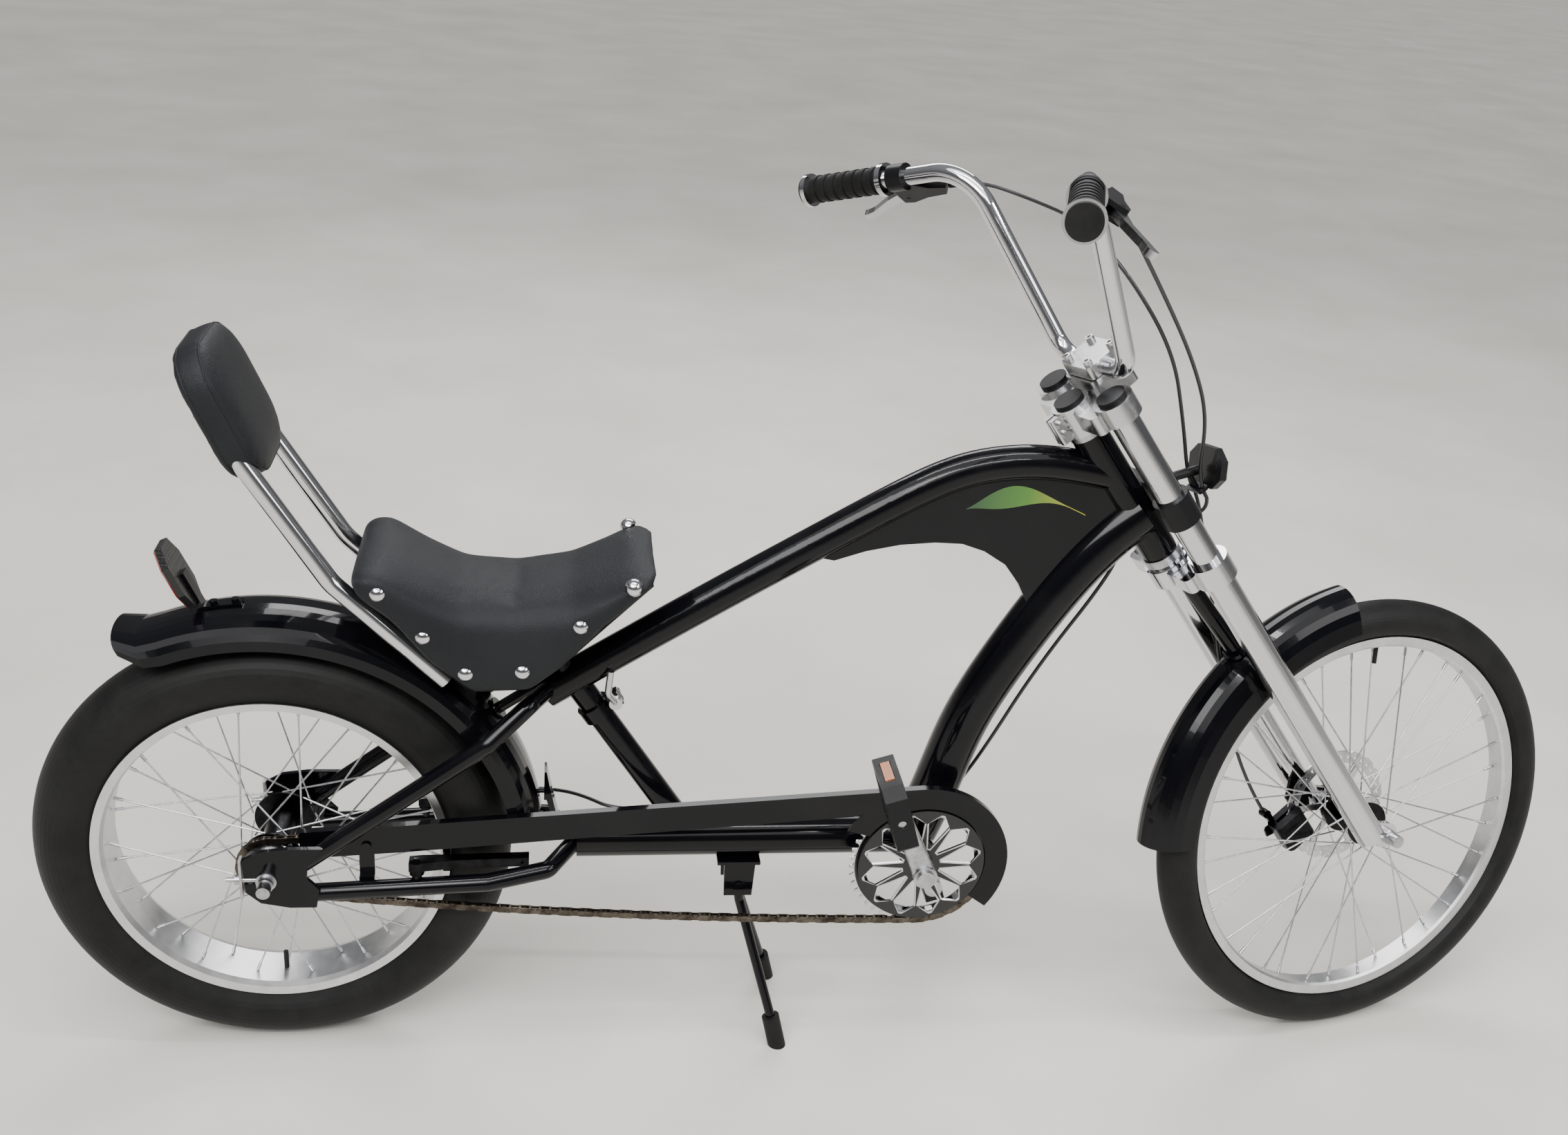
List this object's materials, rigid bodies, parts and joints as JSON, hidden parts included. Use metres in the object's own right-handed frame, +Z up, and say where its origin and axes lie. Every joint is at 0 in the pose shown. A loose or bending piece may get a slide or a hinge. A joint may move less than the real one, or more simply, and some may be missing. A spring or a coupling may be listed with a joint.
{
  "type": "chopper bicycle",
  "caption": "Chopper cruiser bicycle with a raked double-crown fork, swept handlebar, banana saddle with sissy-bar backrest, wide tyres, chain drive and double-leg stand",
  "frame": {"origin": "on the ground, under the middle of the rear axle", "axes": "+X forward, +Y to the rider's left, +Z up"},
  "size_m": [1.9888, 0.6689, 1.1755],
  "materials": {
    "head_tube": "gloss black paint",
    "top_tube": "gloss black paint",
    "gusset": "gloss black paint",
    "down_tube": "gloss black paint",
    "bottom_tube": "gloss black paint",
    "seat_tube": "gloss black paint",
    "right_stays": "gloss black paint",
    "left_stays": "gloss black paint",
    "stand_hanger": "gloss black paint",
    "bearing_cups": "plated steel",
    "rear_axle": "plated steel",
    "chain": "oiled brown steel",
    "chain_guard": "gloss black paint",
    "rear_fender": "gloss black paint",
    "fender_brackets": "black paint with plated bolts",
    "rear_reflector": "red reflector",
    "seat_collar": "gloss black paint",
    "rear_brake_cable": "black cable housing",
    "seat_post": "black steel post and pan",
    "saddle": "charcoal vinyl over foam",
    "saddle_rivets": "chrome",
    "sissy_bar": "chrome",
    "backrest_pad": "charcoal vinyl over foam",
    "collar_lever": "polished alloy",
    "stand_legs": "gloss black paint",
    "stand_feet": "black rubber",
    "rear_tyre": "black tyre rubber",
    "rear_rim": "satin alloy",
    "rear_spokes": "stainless steel",
    "rear_hub": "black alloy",
    "rear_sprocket": "steel",
    "chainring": "steel, black cover disc",
    "cranks": "steel, black cover disc",
    "right_pedal": "black plastic",
    "right_pedal_reflectors": "amber reflector",
    "left_pedal": "black plastic",
    "left_pedal_reflectors": "amber reflector",
    "lower_crown": "chrome",
    "upper_clamp": "polished alloy",
    "fork_trim": "black plastic",
    "fork_legs": "chrome",
    "handlebar": "chrome",
    "grips": "black rubber",
    "grip_rings": "chrome",
    "lever_brackets": "black plastic",
    "lever_cables": "black cable housing",
    "front_reflector": "clear reflector",
    "front_fender": "gloss black paint",
    "front_axle": "plated steel",
    "front_caliper": "black alloy",
    "right_brake_lever": "polished alloy",
    "left_brake_lever": "polished alloy",
    "caliper_arm": "black alloy",
    "right_brake_arm": "black alloy",
    "left_brake_arm": "black alloy",
    "front_tyre": "black tyre rubber",
    "front_rim": "satin alloy",
    "front_spokes": "stainless steel",
    "front_hub": "black alloy",
    "front_rotor": "stainless steel"
  },
  "bodies": {
    "frame": {"head_tube": "head_tube", "top_tube": "top_tube", "gusset": "gusset", "down_tube": "down_tube", "bottom_tube": "bottom_tube", "seat_tube": "seat_tube", "right_stays": "right_stays", "left_stays": "left_stays", "stand_hanger": "stand_hanger", "bearing_cups": "bearing_cups", "rear_axle": "rear_axle", "chain": "chain", "chain_guard": "chain_guard", "rear_fender": "rear_fender", "fender_brackets": "fender_brackets", "rear_reflector": "rear_reflector", "seat_collar": "seat_collar", "rear_brake_cable": "rear_brake_cable"},
    "seat_unit": {"seat_post": "seat_post", "saddle": "saddle", "saddle_rivets": "saddle_rivets", "sissy_bar": "sissy_bar", "backrest_pad": "backrest_pad"},
    "collar_handle": {"collar_lever": "collar_lever"},
    "stand": {"stand_legs": "stand_legs", "stand_feet": "stand_feet"},
    "rear_wheel": {"rear_tyre": "rear_tyre", "rear_rim": "rear_rim", "rear_spokes": "rear_spokes", "rear_hub": "rear_hub"},
    "freewheel": {"rear_sprocket": "rear_sprocket"},
    "crankset": {"chainring": "chainring", "cranks": "cranks"},
    "right_pedal_unit": {"right_pedal": "right_pedal", "right_pedal_reflectors": "right_pedal_reflectors"},
    "left_pedal_unit": {"left_pedal": "left_pedal", "left_pedal_reflectors": "left_pedal_reflectors"},
    "steering": {"lower_crown": "lower_crown", "upper_clamp": "upper_clamp", "fork_trim": "fork_trim", "fork_legs": "fork_legs", "handlebar": "handlebar", "grips": "grips", "grip_rings": "grip_rings", "lever_brackets": "lever_brackets", "lever_cables": "lever_cables", "front_reflector": "front_reflector", "front_fender": "front_fender", "front_axle": "front_axle", "front_caliper": "front_caliper"},
    "right_lever": {"right_brake_lever": "right_brake_lever"},
    "left_lever": {"left_brake_lever": "left_brake_lever"},
    "front_brake_arm": {"caliper_arm": "caliper_arm"},
    "right_rear_brake": {"right_brake_arm": "right_brake_arm"},
    "left_rear_brake": {"left_brake_arm": "left_brake_arm"},
    "front_wheel": {"front_tyre": "front_tyre", "front_rim": "front_rim", "front_spokes": "front_spokes", "front_hub": "front_hub", "front_rotor": "front_rotor"}
  },
  "joints": [
    {"name": "steering_turn", "type": "hinge", "parent": "frame", "child": "steering", "pos_m": [0.9771, 0, 0.79728], "axis": [-0.6115, 0, 0.7912], "range_deg": [-61, 29], "deforming": ["rear_brake_cable"]},
    {"name": "front_wheel_spin", "type": "hinge", "parent": "steering", "child": "front_wheel", "pos_m": [1.40879, 0.01089, 0.30083], "axis": [-0.2181, 0.9613, -0.1686], "continuous": true},
    {"name": "rear_wheel_spin", "type": "hinge", "parent": "frame", "child": "rear_wheel", "pos_m": [0, 0, 0.282], "axis": [0, 1, 0], "continuous": true},
    {"name": "crank_turn", "type": "hinge", "parent": "frame", "child": "crankset", "pos_m": [0.795, 0, 0.28], "axis": [0, 1, 0], "continuous": true, "deforming": ["chain"]},
    {"name": "freewheel_turn", "type": "hinge", "parent": "frame", "child": "freewheel", "pos_m": [0, 0, 0.282], "axis": [0, 1, 0], "continuous": true, "deforming": ["chain"]},
    {"name": "right_pedal_spin", "type": "hinge", "parent": "crankset", "child": "right_pedal_unit", "pos_m": [0.72992, -0.146, 0.42617], "axis": [0, 1, 0], "continuous": true},
    {"name": "left_pedal_spin", "type": "hinge", "parent": "crankset", "child": "left_pedal_unit", "pos_m": [0.86008, 0.146, 0.13383], "axis": [0, 1, 0], "continuous": true},
    {"name": "seat_height", "type": "slide", "parent": "frame", "child": "seat_unit", "axis": [-0.5595, 0, 0.8288], "range_m": [0, 0.06]},
    {"name": "collar_lever_open", "type": "hinge", "parent": "frame", "child": "collar_handle", "pos_m": [0.40502, 0, 0.48321], "axis": [0, 1, 0], "range_deg": [0, 110]},
    {"name": "stand_fold", "type": "hinge", "parent": "frame", "child": "stand", "pos_m": [0.57, 0, 0.222], "axis": [0, 1, 0], "range_deg": [0, 88]},
    {"name": "right_lever_pull", "type": "hinge", "parent": "steering", "child": "right_lever", "pos_m": [0.85682, -0.21349, 1.14033], "axis": [-0.4114, 0.1387, -0.9008], "range_deg": [0, 22], "stiffness_Nm_per_rad": 1, "springref_deg": -11.46},
    {"name": "left_lever_pull", "type": "hinge", "parent": "steering", "child": "left_lever", "pos_m": [0.75353, 0.24178, 1.06049], "axis": [0.2479, 0.582, 0.7745], "range_deg": [0, 22], "stiffness_Nm_per_rad": 1, "springref_deg": -11.46},
    {"name": "front_brake_pull", "type": "hinge", "parent": "steering", "child": "front_brake_arm", "pos_m": [1.32942, 0.04172, 0.27083], "axis": [-0.2181, 0.9613, -0.1686], "range_deg": [0, 12]},
    {"name": "right_rear_brake_pull", "type": "hinge", "parent": "frame", "child": "right_rear_brake", "pos_m": [0.172, -0.072, 0.29], "axis": [0, 0, 1], "range_deg": [0, 2.2]},
    {"name": "left_rear_brake_pull", "type": "hinge", "parent": "frame", "child": "left_rear_brake", "pos_m": [0.172, 0.072, 0.29], "axis": [0, 0, -1], "range_deg": [0, 2.2]}
  ],
  "couplings": [
    {"joint": "freewheel_turn", "follows": "crank_turn", "ratio": 2.4444},
    {"joint": "front_brake_pull", "follows": "left_lever_pull", "ratio": 0.545},
    {"joint": "right_rear_brake_pull", "follows": "right_lever_pull", "ratio": 0.0999},
    {"joint": "left_rear_brake_pull", "follows": "right_lever_pull", "ratio": 0.0999}
  ]
}
